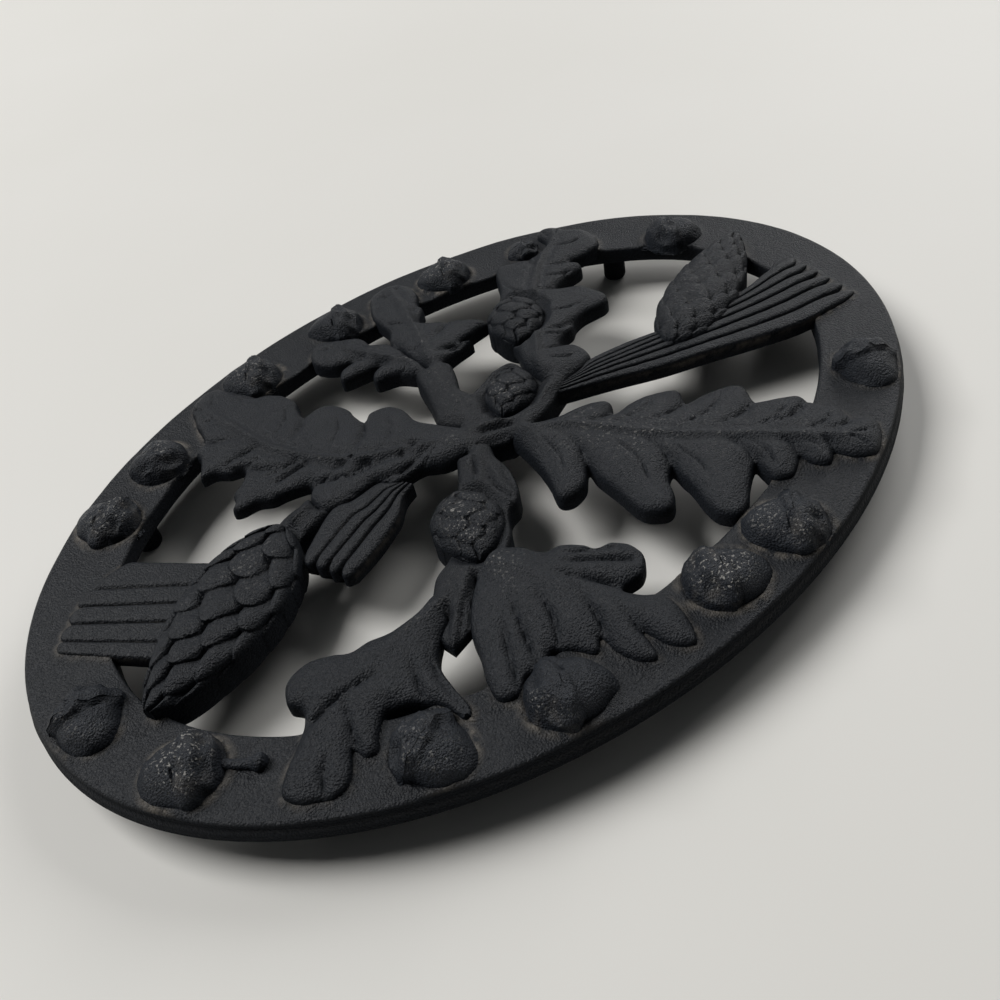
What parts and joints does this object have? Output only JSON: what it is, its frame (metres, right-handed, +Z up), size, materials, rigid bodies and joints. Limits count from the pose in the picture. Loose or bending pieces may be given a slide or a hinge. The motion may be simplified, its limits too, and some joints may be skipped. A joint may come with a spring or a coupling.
{
  "type": "trivet",
  "caption": "Oval cast iron trivet: a flat rim with acorns round an openwork of oak leaves, pine cones and needles, on short round feet, to hold a hot pot off the table",
  "frame": {"origin": "middle of the oval on the table, under the feet", "axes": "+X along the long axis of the oval, towards the right in the picture; +Y along the short axis, away from the viewer; +Z up"},
  "size_m": [0.252, 0.179, 0.0214],
  "materials": {
    "coated_iron": "matt black baked coating over a fine sand cast grain, with faint bright specks on the high spots",
    "foot_iron": "matt black coating, slightly worn on the flat that it stands on"
  },
  "bodies": {
    "root": {"rim": "coated_iron", "foot_back_right": "foot_iron", "foot_back_left": "foot_iron", "foot_front_left": "foot_iron", "foot_front_right": "foot_iron", "hub": "coated_iron", "oak_leaf_front_right": "coated_iron", "oak_leaf_back_left": "coated_iron", "oak_leaf_back_right": "coated_iron", "oak_leaf_front_left": "coated_iron", "oak_leaf_front": "coated_iron", "small_leaf_back": "coated_iron", "small_leaf_back_side": "coated_iron", "pine_cone_left": "coated_iron", "pine_cone_right": "coated_iron", "needles_left": "coated_iron", "needles_inner": "coated_iron", "needles_right": "coated_iron", "small_cone_front": "coated_iron", "small_cone_back": "coated_iron", "small_cone_centre": "coated_iron", "twig_front": "coated_iron", "twig_left": "coated_iron", "twig_back": "coated_iron", "acorn_left_1": "coated_iron", "acorn_left_2": "coated_iron", "acorn_left_3": "coated_iron", "acorn_left_4": "coated_iron", "acorn_front_1": "coated_iron", "acorn_front_2": "coated_iron", "acorn_front_3": "coated_iron", "acorn_front_4": "coated_iron", "acorn_right_1": "coated_iron", "acorn_right_2": "coated_iron", "acorn_back_1": "coated_iron", "acorn_back_2": "coated_iron", "acorn_back_3": "coated_iron", "acorn_back_4": "coated_iron"}
  },
  "joints": []
}
